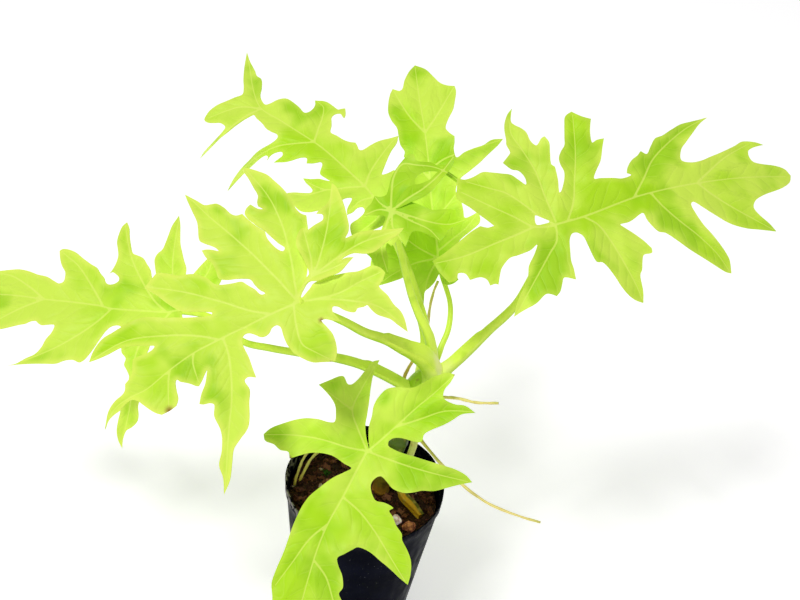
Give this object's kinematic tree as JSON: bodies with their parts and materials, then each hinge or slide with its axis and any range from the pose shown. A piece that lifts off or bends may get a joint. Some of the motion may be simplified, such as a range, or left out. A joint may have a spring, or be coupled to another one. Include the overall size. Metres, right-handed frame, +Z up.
{
  "type": "potted golden lacy tree philodendron",
  "caption": "Golden-leaved climbing aroid with deeply cut leaves on long stalks, growing in soil in a thin tapered nursery pot.",
  "frame": {"origin": "centre of the pot's underside, on the surface that the pot stands on", "axes": "+Z up; the picture was taken from the -Y side and above, with +X to its right"},
  "size_m": [0.6418, 0.386, 0.4325],
  "materials": {
    "blade": "satin leaf, lime green with paler ribs",
    "stalk": "satin, yellow-green",
    "stem": "satin, olive with ring scars",
    "root": "satin, yellow",
    "withered": "dry, yellow-brown",
    "pumice": "rough, pinkish white",
    "fired_clay": "rough, terracotta",
    "pot": "thin satin black",
    "potting_mix": "rough, dark red-brown bark"
  },
  "bodies": {
    "root": {"golden_leaf_right": "blade", "golden_leaf_back": "blade", "golden_leaf_left": "blade", "golden_leaf_far_left": "blade", "golden_leaf_centre": "blade", "golden_leaf_front": "blade", "golden_leaf_top": "blade", "leaf_stalk_right": "stalk", "leaf_stalk_back": "stalk", "leaf_stalk_left": "stalk", "leaf_stalk_far_left": "stalk", "leaf_stalk_centre": "stalk", "leaf_stalk_front": "stalk", "leaf_stalk_top": "stalk", "stem": "stem", "aerial_root_front": "root", "aerial_root_right": "root", "aerial_root_back": "root", "pot_root_outer": "root", "pot_root_inner": "root", "withered_stalk": "withered", "pumice_chip": "pumice", "clay_chip": "fired_clay", "nursery_pot": "pot", "soil": "potting_mix"}
  },
  "joints": []
}
